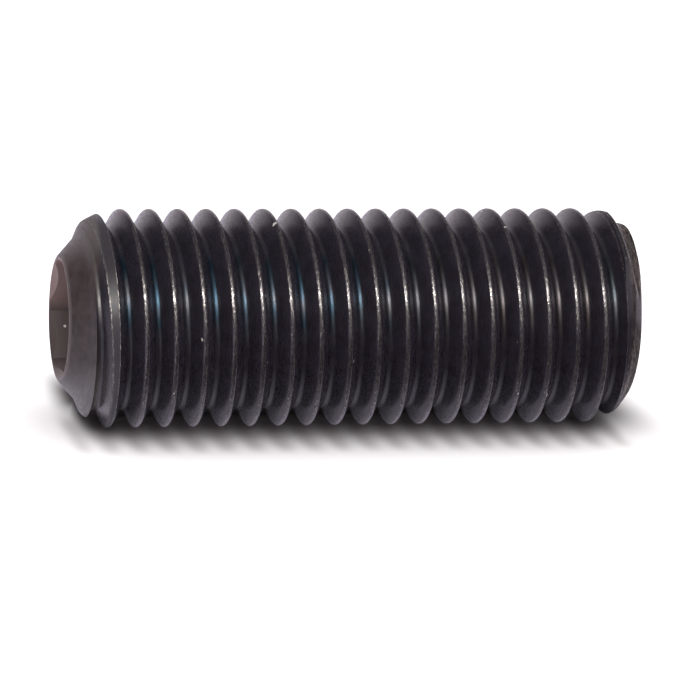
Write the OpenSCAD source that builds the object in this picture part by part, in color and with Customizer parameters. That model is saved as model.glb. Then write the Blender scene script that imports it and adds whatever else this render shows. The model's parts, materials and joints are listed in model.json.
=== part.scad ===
// Grub set screw with a hex socket, a thread along its full length and a cup point.
// One steel piece. It stands on its point: the axis is +Z, the rim of the cup lies at z = 0
// and the socket end faces up. All sizes are in millimetres.

/* [Thread] */
// Diameter over the crests: three quarters of an inch.
thread_diameter = 19.05; // [17.5:0.01:22]
// Rise of the thread in one turn: ten turns to the inch, right-handed.
thread_pitch = 2.54; // [2:0.01:3.2]
// Full angle between the two flanks of a ridge.
thread_angle = 60; // [55:1:66]
// Width of the flat along the top of the ridge.
crest_width = 0.32; // [0.2:0.01:0.45]
// Width of the flat along the bottom of the groove.
root_width = 0.42; // [0.25:0.01:0.6]
// Height over the point at which a crest passes the +X side.
thread_start = 1.93; // [0:0.01:2.5]

/* [Body] */
// Length from the cup's rim to the socket end: a two-inch screw, measured over its ends.
screw_length = 50.5; // [40:0.1:58]

/* [Socket end] */
// Diameter of the rim round the socket's mouth.
socket_face_diameter = 11; // [10.9:0.05:11.6]
// Angle between the axis and the cone that runs out from that rim.
socket_cone_angle = 48; // [44:0.5:60]
// Diameter at which the cone meets the steeper step under the first ridge.
socket_step_diameter = 14.36; // [13.4:0.02:15.5]
// Angle between the axis and that step.
socket_step_angle = 66; // [60:1:75]
// Diameter at which the step gives way to the gentle taper of the first ridge.
socket_shoulder_diameter = 17; // [16.5:0.05:18.2]
// Angle between the axis and the taper of the first ridge.
socket_taper_angle = 27; // [15:1:35]
// Width of the flat left on the rim between the countersink and the cone.
socket_rim_width = 0.05; // [0.03:0.01:0.2]
// Full angle of the countersink in the socket's mouth.
socket_countersink_angle = 90; // [80:1:120]
// Distance across the flats of the hex socket: three eighths of an inch.
socket_across_flats = 9.53; // [8:0.01:9.5]
// Distance across the hex's corners, which are rounded off a little short of sharp.
socket_corner_diameter = 10.76; // [10.2:0.01:10.8]
// Depth of the hex, from the socket end down to the drill cone.
socket_depth = 9.5; // [6:0.1:14]
// Diameter of the drill cone at the bottom of the hex.
socket_drill_diameter = 9.2; // [6:0.05:9.4]
// Full angle of the drill cone.
socket_drill_angle = 118; // [90:1:150]
// Turn of the hex about the axis, from a corner on the +X side.
socket_turn = 16.5; // [0:0.5:30]

/* [Point] */
// Diameter of the rim on which the cup bites.
point_rim_diameter = 14.8; // [14:0.05:15.5]
// Angle between the axis and the cone just outside the rim.
point_cone_angle = 52; // [40:1:60]
// Diameter at which that cone gives way to the gentler taper of the last ridge.
point_shoulder_diameter = 17.3; // [16.2:0.05:18]
// Angle between the axis and the taper of the last ridge.
point_taper_angle = 18; // [14:1:35]
// Width of the flat left on the cup's rim.
point_rim_width = 0.8; // [0.4:0.05:1.6]
// Full angle of the cup drilled into the point.
cup_angle = 118; // [90:1:140]

/* [Hidden] */

crest_radius = thread_diameter / 2;
half_tan = tan(thread_angle / 2);
thread_depth = (thread_pitch - crest_width - root_width) / 2 / half_tan;
root_radius = crest_radius - thread_depth;
turn_steps = 48;
// The ridge starts below the point and ends past the socket end, and the blank trims it.
first_z = thread_start % thread_pitch - crest_width / 2 - 2 * thread_pitch;
turns = ceil((screw_length - first_z + 0.4) / thread_pitch * turn_steps) / turn_steps;
steps = turns * turn_steps;

// One period of the profile, as [radius, height above the start of the crest].
profile = [
    [crest_radius, 0],
    [crest_radius, crest_width],
    [root_radius, crest_width + thread_depth * half_tan],
    [root_radius, crest_width + thread_depth * half_tan + root_width]
];
corners = len(profile);

outer_radius = crest_radius + 1;

socket_face_radius = socket_face_diameter / 2;
socket_shoulder_radius = socket_shoulder_diameter / 2;
socket_step_radius = socket_step_diameter / 2;
socket_step_drop = (socket_step_radius - socket_face_radius) / tan(socket_cone_angle);
socket_shoulder_drop = socket_step_drop + (socket_shoulder_radius - socket_step_radius) / tan(socket_step_angle);
socket_taper_drop = (outer_radius - socket_shoulder_radius) / tan(socket_taper_angle);
hex_radius = socket_across_flats / 2 / cos(30);
drill_radius = socket_drill_diameter / 2;
drill_height = drill_radius / tan(socket_drill_angle / 2);
countersink_radius = socket_face_radius - socket_rim_width;
countersink_slope = tan(socket_countersink_angle / 2);

point_rim_radius = point_rim_diameter / 2;
point_shoulder_radius = point_shoulder_diameter / 2;
point_shoulder_rise = (point_shoulder_radius - point_rim_radius) / tan(point_cone_angle);
point_taper_rise = (outer_radius - point_shoulder_radius) / tan(point_taper_angle);
cup_radius = point_rim_radius - point_rim_width;
cup_depth = cup_radius / tan(cup_angle / 2);
cut = 1;

function ridge_point(i, m) =
    let (a = i * 360 / turn_steps, r = profile[m][0])
    [r * cos(a), r * sin(a), first_z + i * thread_pitch / turn_steps + profile[m][1]];

// Index of profile corner m at step i; a step past the last corner is the next turn's first.
function at(i, m) = m < corners ? i * corners + m : (i + turn_steps) * corners;

// The threaded rod: one helical strip of flats from below the point to past the socket end.
module threaded_rod() {
    last = steps + turn_steps;
    points = [for (i = [0:last]) for (m = [0:corners - 1]) ridge_point(i, m)];
    foot = len(points);
    centres = [[0, 0, first_z], [0, 0, first_z + (steps / turn_steps + 1) * thread_pitch]];
    sides = [
        for (i = [0:steps - 1]) for (m = [0:corners - 1])
        for (t = [[at(i, m), at(i, m + 1), at(i + 1, m + 1)], [at(i, m), at(i + 1, m + 1), at(i + 1, m)]])
        t
    ];
    foot_fan = [
        for (i = [0:turn_steps - 1]) [foot, at(i, 0), at(i + 1, 0)]
    ];
    foot_wall = [for (m = [0:corners - 1]) [foot, at(0, m + 1), at(0, m)]];
    top_fan = [for (i = [steps:last - 1]) [foot + 1, at(i + 1, 0), at(i, 0)]];
    top_wall = [for (m = [0:corners - 1]) [foot + 1, at(steps, m), at(steps, m + 1)]];
    polyhedron(concat(points, centres), concat(sides, foot_fan, foot_wall, top_fan, top_wall), 4);
}

// What the turned blank leaves of the rod: a cone and a gentler taper at each end, and at the
// socket end a steeper step between them, where rolling the first ridge pushed the metal up.
module turned_blank() {
    rotate_extrude($fn = 96)
    polygon([
        [0, 0],
        [point_rim_radius, 0],
        [point_shoulder_radius, point_shoulder_rise],
        [outer_radius, point_shoulder_rise + point_taper_rise],
        [outer_radius, screw_length - socket_shoulder_drop - socket_taper_drop],
        [socket_shoulder_radius, screw_length - socket_shoulder_drop],
        [socket_step_radius, screw_length - socket_step_drop],
        [socket_face_radius, screw_length],
        [0, screw_length]
    ]);
}

// The hex socket with the drill cone at its bottom and the countersink at its mouth.
module hex_socket() {
    translate([0, 0, screw_length - socket_depth])
    intersection() {
        rotate(socket_turn) cylinder(h = socket_depth + cut, r = hex_radius, $fn = 6);
        cylinder(h = socket_depth + cut, d = socket_corner_diameter, $fn = 96);
    }
    translate([0, 0, screw_length - countersink_radius / countersink_slope])
    cylinder(
        h = countersink_radius / countersink_slope + cut,
        r1 = 0,
        r2 = countersink_radius + cut * countersink_slope,
        $fn = 96
    );
    translate([0, 0, screw_length - socket_depth - drill_height])
    cylinder(h = drill_height, r1 = 0, r2 = drill_radius, $fn = 96);
}

// The hollow of the cup point.
module cup() {
    translate([0, 0, -cut])
    cylinder(h = cup_depth + cut, r1 = cup_radius + cut * tan(cup_angle / 2), r2 = 0, $fn = 96);
}

module set_screw() {
    color([0.16, 0.16, 0.18])
    difference() {
        intersection() {
            threaded_rod();
            turned_blank();
        }
        hex_socket();
        cup();
    }
}

set_screw();
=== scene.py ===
# %% [markdown]
# # A grub screw on a white sheet
#
# A grub screw has no head. It is a short steel rod with a thread along its whole
# length, a hex socket in one end and a cup point at the other. This one has the
# dark skin of black oxide, worn bright along the crests of its thread.
#
# The construction model already has the right size and place. Here it gets what
# the eye looks for from close by: rolled crests with a seam, rounded roots, broken
# edges and a finish with wear in it.

# %% Load the frame
import json
import math

import bpy
from mathutils import Matrix, Vector

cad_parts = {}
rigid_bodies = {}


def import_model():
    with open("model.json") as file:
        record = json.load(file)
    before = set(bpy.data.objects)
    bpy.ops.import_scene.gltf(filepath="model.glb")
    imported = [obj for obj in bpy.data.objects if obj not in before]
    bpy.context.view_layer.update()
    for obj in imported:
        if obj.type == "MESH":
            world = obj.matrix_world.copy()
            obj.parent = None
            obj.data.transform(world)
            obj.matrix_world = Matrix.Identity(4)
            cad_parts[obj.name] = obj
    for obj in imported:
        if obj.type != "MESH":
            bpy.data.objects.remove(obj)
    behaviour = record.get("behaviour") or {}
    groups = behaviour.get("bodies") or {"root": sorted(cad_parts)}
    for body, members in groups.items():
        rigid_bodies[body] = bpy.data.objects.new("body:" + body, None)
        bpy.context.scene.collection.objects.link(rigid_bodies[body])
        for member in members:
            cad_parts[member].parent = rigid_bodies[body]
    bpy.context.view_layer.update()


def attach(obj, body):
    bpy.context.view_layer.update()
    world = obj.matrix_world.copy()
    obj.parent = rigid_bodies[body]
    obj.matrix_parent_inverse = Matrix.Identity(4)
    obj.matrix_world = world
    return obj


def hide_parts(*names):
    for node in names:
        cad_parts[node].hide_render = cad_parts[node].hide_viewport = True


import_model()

MM = 0.001

# %% [markdown]
# ## Selecting
#
# Every step below is what a person does by hand: add a primitive, go into edit mode,
# select some of it, extrude or scale that, come back, apply a modifier. An operator
# acts on everything that is selected, so each step starts from a clean selection.


# %% Start from a clean selection
def clear():
    """Deselects everything, so that a new primitive comes alone."""
    for other in bpy.context.view_layer.objects:
        other.select_set(False)


def pick(obj):
    """Selects only this object and makes it the active one."""
    if bpy.context.object and bpy.context.object.mode != "OBJECT":
        bpy.ops.object.mode_set(mode="OBJECT")
    clear()
    obj.select_set(True)
    bpy.context.view_layer.objects.active = obj


def edit_only(obj, kind, wanted):
    """Goes into edit mode with only those vertices or faces that wanted() says yes to."""
    pick(obj)
    bpy.ops.object.mode_set(mode="EDIT")
    bpy.ops.mesh.select_mode(type=kind)
    bpy.ops.mesh.select_all(action="DESELECT")
    bpy.ops.object.mode_set(mode="OBJECT")
    parts = obj.data.vertices if kind == "VERT" else obj.data.polygons
    for part in parts:
        part.select = wanted(part)
    print(obj.name + ":", sum(part.select for part in parts), kind.lower(), "selected")
    bpy.ops.object.mode_set(mode="EDIT")


def count(obj):
    """Prints the number of triangles and the box of a mesh."""
    triangles = sum(len(f.vertices) - 2 for f in obj.data.polygons)
    corners = [v.co for v in obj.data.vertices]
    spans = [max(c[i] for c in corners) - min(c[i] for c in corners) for i in range(3)]
    print(obj.name + ":", triangles, "triangles, box in mm", [round(s / MM, 3) for s in spans])


# %% [markdown]
# ## The thread
#
# A rolled thread is one ridge that winds round a rod. The ridge was squeezed up
# between two dies from both sides, so its crest is not a sharp flat but rounded, and
# so is the root.
#
# The quickest way to model it is the way a lathe thinks: draw the outline of one
# ridge, then let the Screw modifier wind it, rising by one pitch each turn. Each
# turn starts where the last one ended, so the doubles are merged and the turns
# become one skin.

# %% Sizes of the thread
PITCH = 2.54 * MM
CREST_RADIUS = 9.52 * MM
LENGTH = 50.5 * MM
# Height at which the crest passes the +X side for the first time.
CREST_AT_X = 1.93 * MM
STEPS_A_TURN = 120
MERGE_DISTANCE = 0.002 * MM

# Half of the outline in mm, as (distance from the crest's middle, depth under the crest).
HALF_RIDGE = [
    (0.000, 0.000),
    (0.045, 0.004),
    (0.090, 0.015),
    (0.135, 0.035),
    (0.180, 0.067),
    (0.240, 0.139),
    (0.600, 0.762),
    (0.954, 1.375),
    (1.012, 1.451),
    (1.087, 1.509),
    (1.175, 1.546),
    (1.270, 1.558),
]
ridge = [(-step, depth) for step, depth in reversed(HALF_RIDGE)] + HALF_RIDGE[1:]
# The winding starts below the point and ends past the socket end.
turns = math.ceil(LENGTH / PITCH) + 3
first_z = CREST_AT_X - 3 * PITCH
print("ridge outline:", len(ridge), "points,", turns, "turns")

# %% Draw the outline, point after point
clear()
bpy.ops.mesh.primitive_plane_add(size=PITCH)
thread = bpy.context.object
thread.name = "screw_body"
bpy.ops.object.mode_set(mode="EDIT")
bpy.ops.mesh.select_all(action="SELECT")
bpy.ops.mesh.merge(type="CENTER")
start_step, start_depth = ridge[0]
start = (CREST_RADIUS - start_depth * MM, 0, first_z + start_step * MM)
bpy.ops.transform.translate(value=start)
for (step0, depth0), (step1, depth1) in zip(ridge, ridge[1:]):
    move = ((depth0 - depth1) * MM, 0, (step1 - step0) * MM)
    bpy.ops.mesh.extrude_region_move(TRANSFORM_OT_translate={"value": move})
bpy.ops.object.mode_set(mode="OBJECT")
print("outline drawn:", len(thread.data.vertices), "vertices")

# %% Wind it
winding = thread.modifiers.new("winding", "SCREW")
winding.axis = "Z"
winding.angle = 2 * math.pi
winding.screw_offset = PITCH
winding.iterations = turns
winding.steps = STEPS_A_TURN
winding.render_steps = STEPS_A_TURN
winding.use_merge_vertices = False
pick(thread)
bpy.ops.object.modifier_apply(modifier=winding.name)
bpy.ops.object.mode_set(mode="EDIT")
bpy.ops.mesh.select_all(action="SELECT")
bpy.ops.mesh.remove_doubles(threshold=MERGE_DISTANCE)
bpy.ops.object.mode_set(mode="OBJECT")
count(thread)

# %% [markdown]
# On the first and last ridge the two waves of metal never quite met, and a fine seam
# runs along the middle of the crest. It is one row of vertices: those that stand
# highest, near either end. They are drawn in a little towards the axis.

# %% Press the seam into the end ridges
SEAM_ZONES = (3.4 * MM, 46.0 * MM)
SEAM_DEPTH = 0.07 * MM


def on_end_crest(vertex):
    at_end = vertex.co.z < SEAM_ZONES[0] or vertex.co.z > SEAM_ZONES[1]
    return at_end and vertex.co.xy.length > CREST_RADIUS - MERGE_DISTANCE


edit_only(thread, "VERT", on_end_crest)
shrink = 1 - SEAM_DEPTH / CREST_RADIUS
bpy.ops.transform.resize(value=(shrink, shrink, 1), center_override=(0, 0, 0))
bpy.ops.object.mode_set(mode="OBJECT")

# %% [markdown]
# The winding is an open tube, and the Boolean below needs a closed solid. Each open
# rim is extruded and gathered on the axis, like a lid with a step in it. Both lids
# lie outside the finished screw, so nothing of them stays.


# %% Close both ends
def close_rim(obj, lower):
    """Gathers the open rim at one end of the winding on the axis."""
    pick(obj)
    bpy.ops.object.mode_set(mode="EDIT")
    bpy.ops.mesh.select_mode(type="EDGE")
    bpy.ops.mesh.select_all(action="DESELECT")
    bpy.ops.mesh.select_non_manifold()
    bpy.ops.object.mode_set(mode="OBJECT")
    vertices = obj.data.vertices
    middle_z = sum(v.co.z for v in vertices) / len(vertices)
    for vertex in vertices:
        vertex.select = False
    for edge in obj.data.edges:
        z = sum(vertices[i].co.z for i in edge.vertices) / 2
        edge.select = edge.select and (z < middle_z) == lower
        for i in edge.vertices:
            vertices[i].select = vertices[i].select or edge.select
    bpy.ops.object.mode_set(mode="EDIT")
    bpy.ops.mesh.extrude_region_move()
    bpy.ops.mesh.merge(type="CENTER")
    bpy.ops.object.mode_set(mode="OBJECT")


close_rim(thread, lower=True)
close_rim(thread, lower=False)
pick(thread)
bpy.ops.object.mode_set(mode="EDIT")
bpy.ops.mesh.select_all(action="SELECT")
bpy.ops.mesh.normals_make_consistent(inside=False)
bpy.ops.object.mode_set(mode="OBJECT")
count(thread)

# %% [markdown]
# ## The blank
#
# The dies roll a turned blank whose ends are already chamfered. That is why the
# first and last ridges fade out over a cone, and why the cone cuts the ridge at a
# slant. The same thing is done here: a plain cylinder is given its cones by
# extruding and scaling its caps, and only what lies inside it is kept.


# %% A cylinder, and a way to shape its caps
SAME_PLACE = 1e-7


def cylinder(name, radius, low, high, sides, turn=0.0):
    """A closed cylinder on the Z axis between two heights, with a corner at turn from +X."""
    clear()
    bpy.ops.mesh.primitive_cylinder_add(
        vertices=sides,
        radius=radius,
        depth=high - low,
        location=(0, 0, (low + high) / 2),
        rotation=(0, 0, turn - math.pi / 2),
    )
    obj = bpy.context.object
    obj.name = name
    bpy.ops.object.transform_apply(location=True, rotation=True, scale=True)
    return obj


def grow_cap(obj, up, rings):
    """Extends the top cap (up = 1) or the bottom cap (up = -1) through (radius, z) rings."""
    tips = [v.co.z for v in obj.data.vertices]
    z = max(tips) if up > 0 else min(tips)
    radius = max(v.co.xy.length for v in obj.data.vertices if abs(v.co.z - z) < SAME_PLACE)
    edit_only(obj, "FACE", lambda f: f.normal.z * up > 0.99 and abs(f.center.z - z) < SAME_PLACE)
    for new_radius, new_z in rings:
        scale = new_radius / radius
        bpy.ops.mesh.extrude_region_move(TRANSFORM_OT_translate={"value": (0, 0, new_z - z)})
        bpy.ops.transform.resize(value=(scale, scale, 1), center_override=(0, 0, 0))
        radius, z = new_radius, new_z
    bpy.ops.object.mode_set(mode="OBJECT")


# %% Sizes of the ends
OUTSIDE = CREST_RADIUS + 0.6 * MM
BLANK_SIDES = 160
# Rings in mm from the body towards the socket end and towards the point, as (radius, z).
SOCKET_RINGS = [
    (8.62, 48.165),
    (8.52, 48.335),
    (8.36, 48.462),
    (7.32, 48.930),
    (7.12, 49.050),
    (5.72, 50.302),
    (5.64, 50.375),
    (5.56, 50.432),
    (5.47, 50.475),
    (5.40, 50.497),
    (5.34, 50.500),
]
POINT_RINGS = [
    (8.84, 1.250),
    (8.76, 1.000),
    (8.66, 0.880),
    (7.72, 0.110),
    (7.62, 0.045),
    (7.52, 0.010),
    (7.44, 0.000),
]
SOCKET_TAPER = math.tan(math.radians(27))
POINT_TAPER = math.tan(math.radians(18))
# Where the two tapers start, as (radius, z).
top_radius, top_z = (v * MM for v in SOCKET_RINGS[0])
foot_radius, foot_z = (v * MM for v in POINT_RINGS[0])
print("tapers start at z", top_z / MM, "and", foot_z / MM, "mm")

# %% Turn the blank
socket_start = top_z - (OUTSIDE - top_radius) / SOCKET_TAPER
point_start = foot_z + (OUTSIDE - foot_radius) / POINT_TAPER
blank = cylinder("blank", OUTSIDE, point_start, socket_start, BLANK_SIDES)
grow_cap(blank, 1, [(r * MM, z * MM) for r, z in SOCKET_RINGS])
grow_cap(blank, -1, [(r * MM, z * MM) for r, z in POINT_RINGS])
count(blank)

# %% [markdown]
# Rolling pushed some metal out over the chamfer of the point, at the side that is
# uppermost in the photograph. A proportional move of a few vertices does the same to
# the blank: the ones that are picked go outwards, and their neighbours follow less.

# %% Swell the point on one side
LIP_AT = math.radians(-38)
LIP_HALF_WIDTH = math.radians(12)
LIP_TOP = 0.95 * MM
LIP_RISE = 0.80 * MM
LIP_REACH = 5.6 * MM
lip_side = Vector((math.cos(LIP_AT), math.sin(LIP_AT), 0))


def on_lip(vertex):
    facing = vertex.co.xy.normalized().dot(lip_side.xy)
    return vertex.co.z < LIP_TOP and facing > math.cos(LIP_HALF_WIDTH)


edit_only(blank, "VERT", on_lip)
bpy.ops.transform.translate(
    value=lip_side * LIP_RISE,
    use_proportional_edit=True,
    proportional_edit_falloff="SMOOTH",
    proportional_size=LIP_REACH,
)
bpy.ops.object.mode_set(mode="OBJECT")
foot = [v.co.xy.length / MM for v in blank.data.vertices if v.co.z < 0.1 * MM]
print("widest at the foot:", round(max(foot), 2), "mm")

# %% [markdown]
# The Intersect Boolean keeps what the two solids share, so the blank's cones cut the
# ridge off as they do on the real screw.


# %% Keep what lies inside the blank
def cut(target, tool, operation):
    """Applies a Boolean of target with tool and deletes the tool."""
    pick(target)
    step = target.modifiers.new("cut", "BOOLEAN")
    step.operation = operation
    step.solver = "EXACT"
    step.object = tool
    bpy.ops.object.modifier_apply(modifier=step.name)
    bpy.data.objects.remove(tool, do_unlink=True)


cut(thread, blank, "INTERSECT")
count(thread)

# %% [markdown]
# ## The hex socket and the cup
#
# The socket is punched with a hex punch into a drilled hole, so a hex prism with a
# drill cone under it is the right tool. The corners of a punch are never quite
# sharp, which a round tool of nearly the same width trims. The mouth is countersunk.

# %% Sizes of the socket
HEX_RADIUS = 9.53 / 2 / math.cos(math.radians(30)) * MM
HEX_TURN = math.radians(16.5)
HEX_CORNER = 5.24 * MM
SOCKET_FLOOR = LENGTH - 9.5 * MM
DRILL_RADIUS = 4.6 * MM
DRILL_LEAD = 0.4 * MM
DRILL_SLOPE = math.tan(math.radians(59))
DRILL_SIDES = 64
SINK_RADIUS = 5.30 * MM
SINK_FOOT = 4.3 * MM
ROUND_SIDES = 128
# A tool stands this far out of the screw, and a cone ends in a cap this small.
ABOVE = 1 * MM
TIP = 0.02 * MM
print("hex", round(2 * HEX_RADIUS / MM, 2), "mm over sharp corners")

# %% Punch and drill the socket
punch = cylinder("punch", HEX_RADIUS, SOCKET_FLOOR, LENGTH + ABOVE, 6, HEX_TURN)
trim_top = LENGTH + 2 * ABOVE
trim = cylinder("corners", HEX_CORNER, SOCKET_FLOOR - ABOVE, trim_top, ROUND_SIDES)
cut(punch, trim, "INTERSECT")
cut(thread, punch, "DIFFERENCE")
drill = cylinder("drill", DRILL_RADIUS, SOCKET_FLOOR, SOCKET_FLOOR + DRILL_LEAD, DRILL_SIDES)
grow_cap(drill, -1, [(TIP, SOCKET_FLOOR - (DRILL_RADIUS - TIP) / DRILL_SLOPE)])
cut(thread, drill, "DIFFERENCE")
count(thread)

# %% Countersink its mouth
sink_low, sink_high = LENGTH + ABOVE, LENGTH + 2 * ABOVE
sink = cylinder("countersink", SINK_RADIUS + ABOVE, sink_low, sink_high, BLANK_SIDES)
grow_cap(sink, -1, [(SINK_FOOT, LENGTH - (SINK_RADIUS - SINK_FOOT))])
cut(thread, sink, "DIFFERENCE")
count(thread)

# %% [markdown]
# The cup point is a cone drilled into the far end. Its rim bites into a shaft, and
# handling takes the sharpness off its inner edge. So the tool is a cone with a short,
# wider step at its foot.

# %% Drill the cup
CUP_RADIUS = 6.6 * MM
CUP_BREAK_WIDTH = 0.06 * MM
CUP_BREAK_DEPTH = 0.03 * MM
cup = cylinder("cup", CUP_RADIUS + CUP_BREAK_WIDTH, -ABOVE, 0, ROUND_SIDES)
cup_top = CUP_BREAK_DEPTH + (CUP_RADIUS - TIP) / DRILL_SLOPE
grow_cap(cup, 1, [(CUP_RADIUS, CUP_BREAK_DEPTH), (TIP, cup_top)])
cut(thread, cup, "DIFFERENCE")
count(thread)

# %% [markdown]
# A rolled flank is smooth, while the corners that a cone cuts are crisp. Shading by
# angle does both: faces that meet at less than the given angle blend into each other.

# %% Smooth the skin, keep the edges
pick(thread)
bpy.ops.object.shade_smooth_by_angle(angle=math.radians(24))
print("smooth faces:", sum(f.use_smooth for f in thread.data.polygons))

# %% [markdown]
# ## The finish
#
# Black oxide is a skin about a thousandth of a millimetre thick. It is close to black,
# shines like oiled metal, and where it is thin it shows faint blue and straw tints.
# On the crests it rubs off first, in specks and short dashes that follow the ridge.
# On the cone of the socket end the skin is duller and browner.
#
# One material does it all, because it is one skin. Masks decide where each tone
# goes, and a material of this kind has many nodes, so a few helpers write them.


# %% A short way to write nodes
def add(tree, kind, values=None, **settings):
    """Adds a node, sets its properties, and sets or links its inputs."""
    node = tree.nodes.new(kind)
    for name, value in settings.items():
        setattr(node, name, value)
    for name, value in (values or {}).items():
        if hasattr(value, "is_output"):
            tree.links.new(value, node.inputs[name])
        else:
            node.inputs[name].default_value = value
    return node


def math_node(tree, operation, a, b=0.0):
    """One step of arithmetic."""
    return add(tree, "ShaderNodeMath", {0: a, 1: b}, operation=operation).outputs[0]


def times(tree, first, *others):
    """The product of all the values."""
    for other in others:
        first = math_node(tree, "MULTIPLY", first, other)
    return first


def most(tree, first, *others):
    """The largest of all the values."""
    for other in others:
        first = math_node(tree, "MAXIMUM", first, other)
    return first


def plus(tree, a, b):
    return math_node(tree, "ADD", a, b)


def minus(tree, a, b):
    return math_node(tree, "SUBTRACT", a, b)


# %% Fades, noise and mixed colours
def fade(tree, value, low, high):
    """0 at low, 1 at high, and a smooth step between them."""
    limits = {"Value": value, "From Min": low, "From Max": high}
    node = add(tree, "ShaderNodeMapRange", limits, interpolation_type="SMOOTHSTEP")
    return node.outputs["Result"]


def fade_mm(tree, value, low, high):
    """A fade with its limits in millimetres."""
    return fade(tree, value, low * MM, high * MM)


def noise(tree, where, scale, detail, low=0.0, high=1.0):
    """Noise of a given number of cells per metre, stretched between two levels."""
    node = add(tree, "ShaderNodeTexNoise", {"Vector": where, "Scale": scale, "Detail": detail})
    return fade(tree, node.outputs["Fac"], low, high)


def blend(tree, amount, first, second):
    """Mixes two colours."""
    node = add(tree, "ShaderNodeMix", {0: amount}, data_type="RGBA")
    for socket, value in ((node.inputs[6], first), (node.inputs[7], second)):
        if hasattr(value, "is_output"):
            tree.links.new(value, socket)
        else:
            socket.default_value = (*value, 1.0)
    return node.outputs[2]


def dot(tree, direction, fixed):
    """How far a vector reaches along a fixed one."""
    inputs = {0: direction, 1: tuple(fixed)}
    return add(tree, "ShaderNodeVectorMath", inputs, operation="DOT_PRODUCT").outputs["Value"]


def empty_tree(owner):
    """Turns nodes on for a material or world and clears them."""
    owner.use_nodes = True
    owner.node_tree.nodes.clear()
    return owner.node_tree


# %% [markdown]
# The masks come from Object coordinates: the distance from the axis tells crest from
# root, and the height tells one end from the other. So the wear sits where the form
# says, and stays there when the screw is moved.

# %% Where on the screw are we
steel = bpy.data.materials.new("black_oxide_steel")
tree = empty_tree(steel)
place = add(tree, "ShaderNodeTexCoord").outputs["Object"]
x, y, z = add(tree, "ShaderNodeSeparateXYZ", {0: place}).outputs
flat = add(tree, "ShaderNodeCombineXYZ", {0: x, 1: y}).outputs[0]
radius = add(tree, "ShaderNodeVectorMath", {0: flat}, operation="LENGTH").outputs["Value"]
sideways = math_node(tree, "ABSOLUTE", x)
# Long thin cells that run round the screw, for rolling marks and rubbed dashes.
around = add(tree, "ShaderNodeMapping", {"Vector": place, "Scale": (1, 1, 9)}).outputs[0]
print("places:", len(tree.nodes), "nodes")

# %% Masks by radius and height
crest = fade_mm(tree, radius, 9.43, 9.50)
root = times(tree, fade_mm(tree, radius, 8.10, 7.99), fade_mm(tree, radius, 7.80, 7.92))
end = fade_mm(tree, plus(tree, z, times(tree, sideways, 0.12)), 48.45, 48.85)
# The first ridge's sides, away from the middle of the picture, get a painted reflection.
first_ridge_painted_reflection = times(tree, fade_mm(tree, z, 46.5, 47.0), fade_mm(tree, sideways, 1.5, 7.5))
inside = times(tree, fade_mm(tree, radius, 5.7, 5.4), fade_mm(tree, z, 30, 31))
dull_end = most(tree, end, inside)
rim = times(tree, fade_mm(tree, radius, 5.25, 5.40), fade_mm(tree, z, 50.25, 50.40))
point = fade_mm(tree, z, 1.5, 0.9)
print("with masks:", len(tree.nodes), "nodes")

# %% [markdown]
# The tapers at both ends cut the ridge off at a slant, and the corners of that cut are
# worn like the crests. They lie where the ridge's own outline meets the taper. So the
# mask compares two radii: the one that the ridge has here, and the one of the taper.

# %% The ridge and the tapers at this place
FLANK = math.tan(math.radians(30))
HALF_CREST = 0.12 * MM
angle = math_node(tree, "ARCTAN2", y, x)
turns_up = math_node(tree, "DIVIDE", minus(tree, z, CREST_AT_X), PITCH)
turns_up = minus(tree, turns_up, math_node(tree, "DIVIDE", angle, 2 * math.pi))
beside = times(tree, math_node(tree, "PINGPONG", turns_up, 0.5), PITCH)
drop = math_node(tree, "DIVIDE", beside, FLANK)
ridge_here = minus(tree, CREST_RADIUS + HALF_CREST / FLANK, drop)
top_here = plus(tree, times(tree, minus(tree, top_z, z), SOCKET_TAPER), top_radius)
foot_here = plus(tree, times(tree, minus(tree, z, foot_z), POINT_TAPER), foot_radius)
print("with the ridge:", len(tree.nodes), "nodes")

# %% The corners that the tapers leave
off_top = math_node(tree, "ABSOLUTE", minus(tree, ridge_here, top_here))
off_foot = math_node(tree, "ABSOLUTE", minus(tree, ridge_here, foot_here))
corner = fade_mm(tree, math_node(tree, "MINIMUM", off_top, off_foot), 0.12, 0.04)
corner = times(tree, corner, fade_mm(tree, radius, 8.3, 8.6))
worn = most(tree, crest, corner)
on_taper = math_node(tree, "ABSOLUTE", minus(tree, radius, top_here))
on_taper = fade_mm(tree, on_taper, 0.10, 0.03)
print("with corners:", len(tree.nodes), "nodes")

# %% [markdown]
# The skin is never one tone. Two close ones are mixed by a fine noise, and each end
# has its own. The cone is browner, and painted lighter on the two sides that lie at the
# top and the bottom of the picture: painted reflection of the sheet and the room. The
# first ridge is painted lighter on the same two sides, also a painted reflection.

# %% The black skin, the browner ends, and painted light on the cone and first ridge
BLACKS = (0.0160, 0.0131, 0.0192), (0.0215, 0.0178, 0.0262)
BROWNS = (0.024, 0.0155, 0.0150), (0.044, 0.031, 0.031)
BROWN_PAINTED_LIGHT_LOW, BROWN_PAINTED_LIGHT_HIGH = (0.078, 0.071, 0.071), (0.074, 0.060, 0.061)
RIDGE_PAINTED_REFLECTION, TAPER_PAINTED_REFLECTION = (0.052, 0.045, 0.051), (0.034, 0.029, 0.035)
POINT_TONES = (0.020, 0.0145, 0.0150), (0.048, 0.036, 0.037)

patches = noise(tree, place, 900, 4, 0.3, 0.7)
brown_and_painted_light = blend(tree, patches, *BROWNS)
# The cone is painted lighter at the bottom and the top of the picture: painted reflection.
brown_and_painted_light = blend(tree, fade_mm(tree, x, -3.5, -6.5), brown_and_painted_light, BROWN_PAINTED_LIGHT_LOW)
brown_and_painted_light = blend(tree, fade_mm(tree, x, 3.5, 7.0), brown_and_painted_light, BROWN_PAINTED_LIGHT_HIGH)
skin = blend(tree, noise(tree, place, 700, 4, 0.35, 0.65), *BLACKS)
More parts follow.
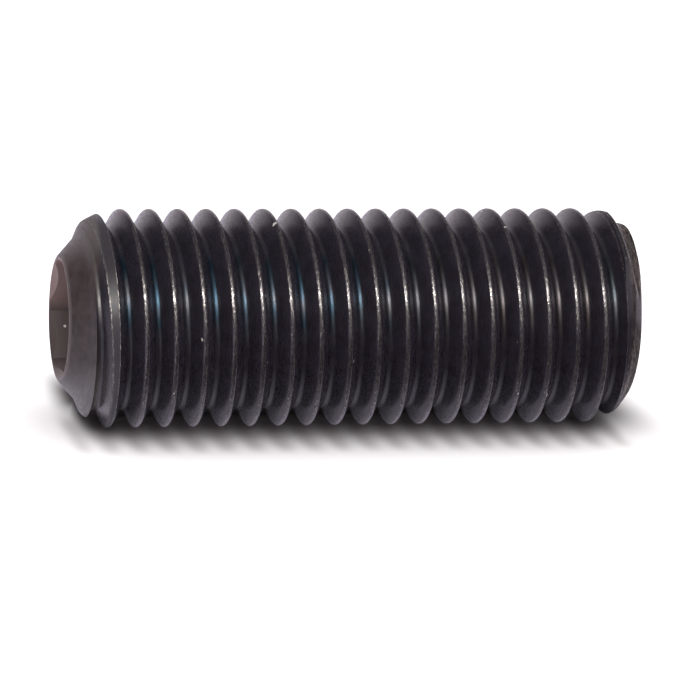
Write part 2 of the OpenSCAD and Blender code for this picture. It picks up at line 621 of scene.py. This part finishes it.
# Painted reflection: the first ridge is lighter towards the top and bottom of the picture, less
# on its taper.
skin = blend(tree, first_ridge_painted_reflection, skin, blend(tree, on_taper, RIDGE_PAINTED_REFLECTION, TAPER_PAINTED_REFLECTION))
skin = blend(tree, end, skin, brown_and_painted_light)
skin = blend(tree, point, skin, blend(tree, patches, *POINT_TONES))
print("black and brown:", len(tree.nodes), "nodes")

# %% The socket's painted light and its rim's painted highlight
# Inside, the socket is painted much lighter than the skin: painted light that falls in, lightest
# on the wall at the top of the picture and lighter again at the bottom.
WALL_PAINTED_LIGHT = (0.066, 0.046, 0.045)
WALL_PAINTED_LIGHT_HIGH, WALL_PAINTED_LIGHT_LOW = (0.220, 0.150, 0.147), (0.140, 0.109, 0.111)
RIM_PAINTED_HIGHLIGHT = (0.080, 0.061, 0.060)
wall_painted_light = blend(tree, fade_mm(tree, x, 0.5, 2.0), WALL_PAINTED_LIGHT, WALL_PAINTED_LIGHT_HIGH)
wall_painted_light = blend(tree, fade_mm(tree, x, -3.3, -4.7), wall_painted_light, WALL_PAINTED_LIGHT_LOW)
skin = blend(tree, inside, skin, wall_painted_light)
# The rim of the mouth is painted as a lighter ring: a painted highlight.
skin = blend(tree, rim, skin, RIM_PAINTED_HIGHLIGHT)
print("with the socket:", len(tree.nodes), "nodes")

# %% [markdown]
# In the roots the skin is thin enough to show colour, as an oil film does: blue to
# teal towards the socket end and straw towards the point. It is a tint of the bare
# metal under it, so it is a metal in the shader too.

# %% Blue and straw tints in the root
STRAW, TEAL = (0.031, 0.026, 0.026), (0.0105, 0.0235, 0.0365)
FOOT_TINT = (0.024, 0.030, 0.036)
TINT_METAL = 0.85
tones = blend(tree, fade_mm(tree, z, 12, 30), STRAW, TEAL)
tones = blend(tree, fade_mm(tree, z, 3.8, 3.2), tones, FOOT_TINT)
tint = times(tree, root, noise(tree, place, 260, 2, 0.25, 0.65))
# The tint shows only in this window of the three axes.
tint_window = (z, 1.2, 1.8), (z, 47.9, 47.2), (x, -2.4, -0.4), (x, 6.2, 4.2), (y, -2.0, -5.0)
for axis, none, full in tint_window:
    tint = times(tree, tint, fade_mm(tree, axis, none, full))
skin = blend(tree, tint, skin, tones)
print("with tints:", len(tree.nodes), "nodes")

# %% [markdown]
# Wear comes in two sizes. The skin is rubbed thin in soft dashes along the crests,
# and bare steel shines through in fine specks. Both follow the ridge, so their noise
# is stretched round the screw. A third, coarser noise wears some stretches less.
# Handling adds a few chips and scuffs on the point, and a small white spot sits on a wall of the
# socket.

# %% Wear on the crests, and painted reflection on the lowest ones
BARE, BARE_CORNER = (0.105, 0.098, 0.099), (0.15, 0.14, 0.135)
BARE_PAINTED_REFLECTION_LOW = (0.165, 0.155, 0.165)
SPECK_TONE = (0.42, 0.39, 0.35)
LEAST_WEAR = 0.38
patchy = noise(tree, place, 330, 1, 0.33, 0.58)
patchy = plus(tree, times(tree, patchy, 1 - LEAST_WEAR), LEAST_WEAR)
rubbed = times(tree, worn, noise(tree, around, 1800, 4, 0.42, 0.62), patchy)
bare = blend(tree, corner, BARE, BARE_CORNER)
# Crests at the bottom of the picture, next to the sheet, are painted more reflective: painted
# reflection of the sheet.
bare = blend(tree, fade_mm(tree, x, -5.5, -8.0), bare, BARE_PAINTED_REFLECTION_LOW)
skin = blend(tree, rubbed, skin, bare)
specks = times(tree, worn, noise(tree, around, 3600, 4, 0.58, 0.66))
skin = blend(tree, specks, skin, SPECK_TONE)
metal = most(tree, rubbed, specks, times(tree, tint, TINT_METAL))
print("with wear:", len(tree.nodes), "nodes")

# %% Chips near the crests, and a small white spot on a wall of the socket
CHIP_TONE, WHITE_SPOT_TONE = (0.60, 0.57, 0.54), (0.75, 0.72, 0.70)
WHITE_SPOT = (-0.63 * MM, 4.78 * MM, 49.17 * MM)
chips = noise(tree, place, 1500, 0, 0.845, 0.86)
chips = times(tree, chips, fade_mm(tree, radius, 9.1, 9.25))
skin = blend(tree, chips, skin, CHIP_TONE)
to_white_spot = add(tree, "ShaderNodeVectorMath", {0: place, 1: WHITE_SPOT}, operation="DISTANCE")
white_spot = fade_mm(tree, to_white_spot.outputs["Value"], 0.16, 0.08)
skin = blend(tree, white_spot, skin, WHITE_SPOT_TONE)
print("with chips:", len(tree.nodes), "nodes")

# %% Scuffs on the point
SCUFF_TONE = (0.22, 0.185, 0.165)
SCUFF_METAL = 0.6
scuffs = times(tree, point, noise(tree, around, 1500, 4, 0.50, 0.62))
scuffs = times(tree, scuffs, fade_mm(tree, sideways, 0.5, 4.5))
skin = blend(tree, scuffs, skin, SCUFF_TONE)
metal = most(tree, metal, times(tree, scuffs, SCUFF_METAL))
print("with scuffs:", len(tree.nodes), "nodes")

# %% [markdown]
# The flanks are burnished by the dies and shine. The turned cone and the taper are
# duller, and the roots a little. The relief is only a hundredth of a millimetre: it
# breaks the long reflections up without a visible dent.

# %% Roughness and relief
dull = noise(tree, around, 900, 4, 0.3, 0.7)
rough = add(tree, "ShaderNodeMapRange", {"Value": dull, "To Min": 0.20, "To Max": 0.30})
rough = rough.outputs["Result"]
for mask, more in ((dull_end, 0.20), (on_taper, 0.13), (root, 0.07)):
    rough = plus(tree, rough, times(tree, mask, more))
fine = noise(tree, around, 2600, 3)
relief = add(tree, "ShaderNodeBump", {"Strength": 0.14, "Distance": 0.012 * MM, "Height": fine})
print("with relief:", len(tree.nodes), "nodes")

# %% The shader
surface = add(
    tree,
    "ShaderNodeBsdfPrincipled",
    {
        "Base Color": skin,
        "Metallic": metal,
        "Roughness": rough,
        "IOR": 1.42,
        "Normal": relief.outputs["Normal"],
    },
)
output = add(tree, "ShaderNodeOutputMaterial")
tree.links.new(surface.outputs[0], output.inputs["Surface"])
thread.data.materials.clear()
thread.data.materials.append(steel)
print("black oxide:", len(tree.nodes), "nodes in all")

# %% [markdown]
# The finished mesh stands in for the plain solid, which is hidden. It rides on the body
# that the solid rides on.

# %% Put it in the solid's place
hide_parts("set_screw")
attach(thread, "root")
print(thread.name, "replaces set_screw")

# %% [markdown]
# ## The camera
#
# The photograph shows the screw lying down, with its socket end to the left and a
# little nearer to the lens. The model stands on its point, so the camera is what
# turns: it looks from a little above the middle of the standing screw and is rolled
# a quarter turn, which lays the screw on its side. A long lens keeps the ridges
# nearly parallel, as they are in the photograph.

# %% Where the camera stands
IMAGE_PIXELS = 700
FOCAL_PIXELS = 4575
SENSOR_WIDTH = 36
VIEW_TILT = math.radians(13.06)
VIEW_ROLL = math.radians(90.505)
VIEW_DISTANCE = 402.8 * MM
VIEW_HEIGHT = 25.3 * MM
VIEW_OFFSET = Vector((0.736, -2.950)) * MM

turn = Matrix.Rotation(math.pi / 2 - VIEW_TILT, 4, "X") @ Matrix.Rotation(-VIEW_ROLL, 4, "Z")
right, up, back = turn.col[0].xyz, turn.col[1].xyz, turn.col[2].xyz
middle = Vector((0, 0, VIEW_HEIGHT))
spot = middle + right * VIEW_OFFSET.x + up * VIEW_OFFSET.y + back * VIEW_DISTANCE
print("camera at mm", [round(v / MM, 1) for v in spot])

# %% Place the camera
clear()
bpy.ops.object.camera_add()
camera = bpy.context.object
camera.name = "camera"
camera.data.sensor_width = SENSOR_WIDTH
camera.data.lens = FOCAL_PIXELS / IMAGE_PIXELS * SENSOR_WIDTH
camera.data.clip_start = 0.01
camera.data.clip_end = 10
camera.matrix_world = Matrix.Translation(spot) @ turn
bpy.context.scene.camera = camera
print("lens", round(camera.data.lens, 1), "mm")

# %% [markdown]
# ## The sheet
#
# The screw lies on a white sheet that is lit until it burns out to pure white. The
# sheet runs along the screw and touches its crests on the side that is lowest in
# the picture. Its back is see-through, so it hides nothing from behind.

# %% Lay the sheet
SHEET_TILT = math.radians(15)
SHEET_SIZE = 0.9
SHEET_GAP = 0.01 * MM
sheet_normal = Vector((math.cos(SHEET_TILT), -math.sin(SHEET_TILT), 0))
clear()
bpy.ops.mesh.primitive_plane_add(
    size=SHEET_SIZE,
    location=middle - sheet_normal * (CREST_RADIUS + SHEET_GAP),
    rotation=(0, math.pi / 2, -SHEET_TILT),
)
sheet = bpy.context.object
sheet.name = "sheet"
bpy.ops.object.transform_apply(location=True, rotation=True, scale=True)
print("sheet:", SHEET_SIZE, "m square")

# %% [markdown]
# Two measures tell where a spot of the sheet lies: how far behind the screw, counted
# in radii of the screw and negative on the camera's side, and how far along it.

# %% Where on the sheet are we
paper = bpy.data.materials.new("white_sheet")
tree = empty_tree(paper)
sides = add(tree, "ShaderNodeNewGeometry")
on_sheet = sides.outputs["Position"]
away = Vector((math.sin(SHEET_TILT), math.cos(SHEET_TILT), 0))
ahead = dot(tree, on_sheet, away / CREST_RADIUS)
along = add(tree, "ShaderNodeSeparateXYZ", {0: on_sheet}).outputs[2]
print("places on the sheet:", len(tree.nodes), "nodes")

# %% [markdown]
# The screw's shadow is closest and darkest just past its two ends, where the
# photograph looks into the gap under the chamfers. The shadow that the light casts is
# softer than that, so a mask adds what is missing.

# %% Keep the shadow close at both ends
SHADOW_FULL = LENGTH - 2.9 * MM
socket_side = fade(tree, along, LENGTH - 0.2 * MM, SHADOW_FULL)
socket_side = times(tree, socket_side, fade(tree, ahead, 0.2, 0.8))
socket_side = most(tree, socket_side, fade(tree, along, LENGTH - 1.5 * MM, SHADOW_FULL))
point_side = fade_mm(tree, along, -4.8, 0.5)
ends = fade(tree, along, LENGTH - 6 * MM, LENGTH - 4 * MM)
ends = most(tree, ends, fade_mm(tree, along, 5.5, 2.5))
hugging = times(tree, ends, fade(tree, ahead, -0.8, 0.35))
hugging = most(tree, hugging, fade(tree, ahead, -0.05, 0.3))
hugging = times(tree, hugging, socket_side, point_side, fade(tree, ahead, 2.2, 1.0))
print("with the close shadow:", len(tree.nodes), "nodes")

# %% [markdown]
# Light that falls through the grooves breaks the near edge of the shadow into
# scallops, one for each ridge. A cosine with the thread's pitch draws them.

# %% Scallops in the edge of the shadow
LIGHT_GAP = 2.50 * MM
swing = times(tree, minus(tree, along, LIGHT_GAP), 2 * math.pi / PITCH)
swing = math_node(tree, "COSINE", swing)
scallops = times(tree, minus(tree, 1.0, swing), 0.5)
for bound in (
    fade(tree, ahead, -1.15, -0.75),
    fade(tree, ahead, 0.3, -0.1),
    fade_mm(tree, along, -1, 2),
    fade(tree, along, LENGTH + 1 * MM, LENGTH - 2 * MM),
):
    scallops = times(tree, scallops, bound)
print("with scallops:", len(tree.nodes), "nodes")

# %% [markdown]
# Oiled metal mirrors the sheet more than it is lit by it. What it mirrors is given
# apart from what the eye sees: for mirrored rays the sheet glows, a painted light that is
# bright in front of the screw, a painted shade under it, and bright again behind it and
# past its socket end.

# %% What the steel mirrors of the sheet
GLOW_UNDER, GLOW_IN_FRONT = 0.11, 0.83
SHADOW_DEPTH = 0.93
rise = fade(tree, ahead, -1.5, -0.6)
close = fade(tree, ahead, -0.02, -0.55)
near = plus(tree, times(tree, close, GLOW_IN_FRONT - GLOW_UNDER), GLOW_UNDER)
near = times(tree, rise, near)
far = fade(tree, ahead, 0.8, 3.5)
past_end = fade(tree, along, LENGTH - 3.2 * MM, LENGTH - 1.2 * MM)
bright = most(tree, near, far, past_end)
bright = times(tree, bright, minus(tree, 1.0, times(tree, hugging, SHADOW_DEPTH)))
# The glow is painted light: the sheet glows for mirrored rays though it is no lamp.
glow = add(tree, "ShaderNodeEmission", {"Color": (0.97, 0.9, 1.08, 1), "Strength": bright})
print("with the glow:", len(tree.nodes), "nodes")

# %% The sheet's material
PAPER, SCALLOP_TONE = (0.88, 0.86, 0.865), (0.64, 0.605, 0.61)
SHADOW_TONE = (0.062, 0.057, 0.060)
tone = blend(tree, scallops, PAPER, SCALLOP_TONE)
tone = blend(tree, hugging, tone, SHADOW_TONE)
white = add(tree, "ShaderNodeBsdfDiffuse", {"Color": tone})
mirrored_ray = add(tree, "ShaderNodeLightPath").outputs["Is Glossy Ray"]
lit = {0: mirrored_ray, 1: white.outputs[0], 2: glow.outputs[0]}
front = add(tree, "ShaderNodeMixShader", lit)
clear_back = add(tree, "ShaderNodeBsdfTransparent")
both = {0: sides.outputs["Backfacing"], 1: front.outputs[0], 2: clear_back.outputs[0]}
mixed = add(tree, "ShaderNodeMixShader", both)
output = add(tree, "ShaderNodeOutputMaterial")
tree.links.new(mixed.outputs[0], output.inputs["Surface"])
sheet.data.materials.append(paper)
print("white sheet:", len(tree.nodes), "nodes in all")

# %% [markdown]
# ## The light
#
# The room is dark in front of the screw and white behind it. Bare metal shows the
# room, so what it mirrors matters more than how much light falls on it: a white
# sky for everything that scatters light, and for mirrored rays a dark room with a
# white wall behind the screw and a soft halo round the lamp.

# %% Where the lamp is
LIGHT_LIFT = math.radians(20)
toward = back.copy()
toward.z = 0
toward.normalize()
toward = toward * math.cos(LIGHT_LIFT) + Vector((1, 0, 0)) * math.sin(LIGHT_LIFT)
print("lamp towards", [round(v, 2) for v in toward])

# %% What the steel mirrors of the room
ROOM_DARK, ROOM_WALL = (0.075, 0.070, 0.080), (1.0, 0.90, 0.98)
HALO_TONE = (1.7, 1.62, 1.6)
HALO_EDGE, HALO_CORE = math.radians(42), math.radians(4)
# The halo is drawn out along the screw.
HALO_SHAPE = (1, 1, 0.4)

world = bpy.data.worlds.new("room")
bpy.context.scene.world = world
tree = empty_tree(world)
ray = add(tree, "ShaderNodeTexCoord").outputs["Generated"]
wall = fade(tree, dot(tree, ray, -back), 0.45, 0.9)
mirrored = blend(tree, wall, ROOM_DARK, ROOM_WALL)
drawn = add(tree, "ShaderNodeVectorMath", {0: ray, 1: HALO_SHAPE}, operation="MULTIPLY")
drawn = add(tree, "ShaderNodeVectorMath", {0: drawn.outputs["Vector"]}, operation="NORMALIZE")
to_lamp = dot(tree, drawn.outputs["Vector"], toward)
halo = fade(tree, to_lamp, math.cos(HALO_EDGE), math.cos(HALO_CORE))
mirrored = blend(tree, halo, mirrored, HALO_TONE)
print("mirrored room:", len(tree.nodes), "nodes")

# %% What lights everything else
SKY_LOW, SKY_HIGH = (0.325, 0.295, 0.305), (2.95, 2.95, 2.95)
BACKDROP = (1.3, 1.3, 1.3)
softbox = fade(tree, dot(tree, ray, sheet_normal), 0.4, 1.0)
scattered = blend(tree, softbox, SKY_LOW, SKY_HIGH)
path = add(tree, "ShaderNodeLightPath")
seen = blend(tree, path.outputs["Is Diffuse Ray"], BACKDROP, scattered)
seen = blend(tree, path.outputs["Is Glossy Ray"], seen, mirrored)
air = add(tree, "ShaderNodeBackground", {"Color": seen, "Strength": 1.0})
output = add(tree, "ShaderNodeOutputWorld")
tree.links.new(air.outputs[0], output.inputs["Surface"])
print("room:", len(tree.nodes), "nodes in all")

# %% [markdown]
# The bright streak along the crests is the mirror image of a long lamp. An area light
# of that shape gives it. It is only mirrored: what scatters light is lit by the sky.

# %% The lamp
LAMP_DISTANCE = 420 * MM
LAMP_SHIFT = 100 * MM
LAMP_WIDTH = 76 * MM
LAMP_LENGTH = 560 * MM
LAMP_WATTS = 4.0
clear()
lamp_place = middle + toward * LAMP_DISTANCE + Vector((0, 0, LAMP_SHIFT))
bpy.ops.object.light_add(type="AREA", location=lamp_place)
lamp = bpy.context.object
lamp.name = "key_light"
lamp.data.shape = "RECTANGLE"
lamp.data.size = LAMP_WIDTH
lamp.data.size_y = LAMP_LENGTH
lamp.data.energy = LAMP_WATTS
lamp.data.color = (1.0, 0.97, 0.92)
lamp.visible_diffuse = False
aim = (middle - lamp.location).normalized()
across = aim.cross(Vector((0, 0, 1))).normalized()
lamp_axes = Matrix((across, across.cross(aim), -aim)).transposed().to_4x4()
lamp.matrix_world = Matrix.Translation(lamp.location) @ lamp_axes
print("lamp:", LAMP_WATTS, "W")

# %% [markdown]
# ## Finish
#
# The tones were matched against the photograph, so they go to the picture as they
# are, with no film look over them.

# %% Tones of the picture
view = bpy.context.scene.view_settings
view.view_transform = "Standard"
view.look = "None"
view.exposure = 0
view.gamma = 1
print("view:", view.view_transform)
